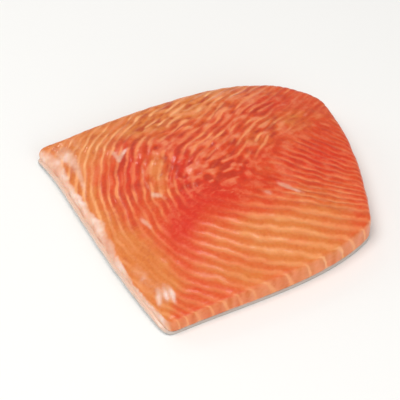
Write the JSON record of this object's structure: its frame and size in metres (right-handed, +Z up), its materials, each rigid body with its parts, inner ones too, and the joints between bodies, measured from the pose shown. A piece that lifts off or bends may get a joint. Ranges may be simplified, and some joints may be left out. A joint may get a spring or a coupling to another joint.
{
  "type": "raw salmon fillet",
  "caption": "Raw salmon fillet portion: a domed slab of flaky orange flesh on a thin silvery skin that turns up along its belly edge.",
  "frame": {"origin": "middle of the fillet's box, on the plane that its skin rests on", "axes": "+Z up through the thickness, +X from the belly edge towards the loin, +Y towards the back cut"},
  "size_m": [0.128, 0.1238, 0.0169],
  "materials": {
    "flesh": "raw salmon flesh: moist, orange red with pale fat lines",
    "skin": "wet fish skin: silvery, paler on the belly and blue grey towards the loin"
  },
  "bodies": {
    "root": {"flesh": "flesh", "skin": "skin"}
  },
  "joints": []
}
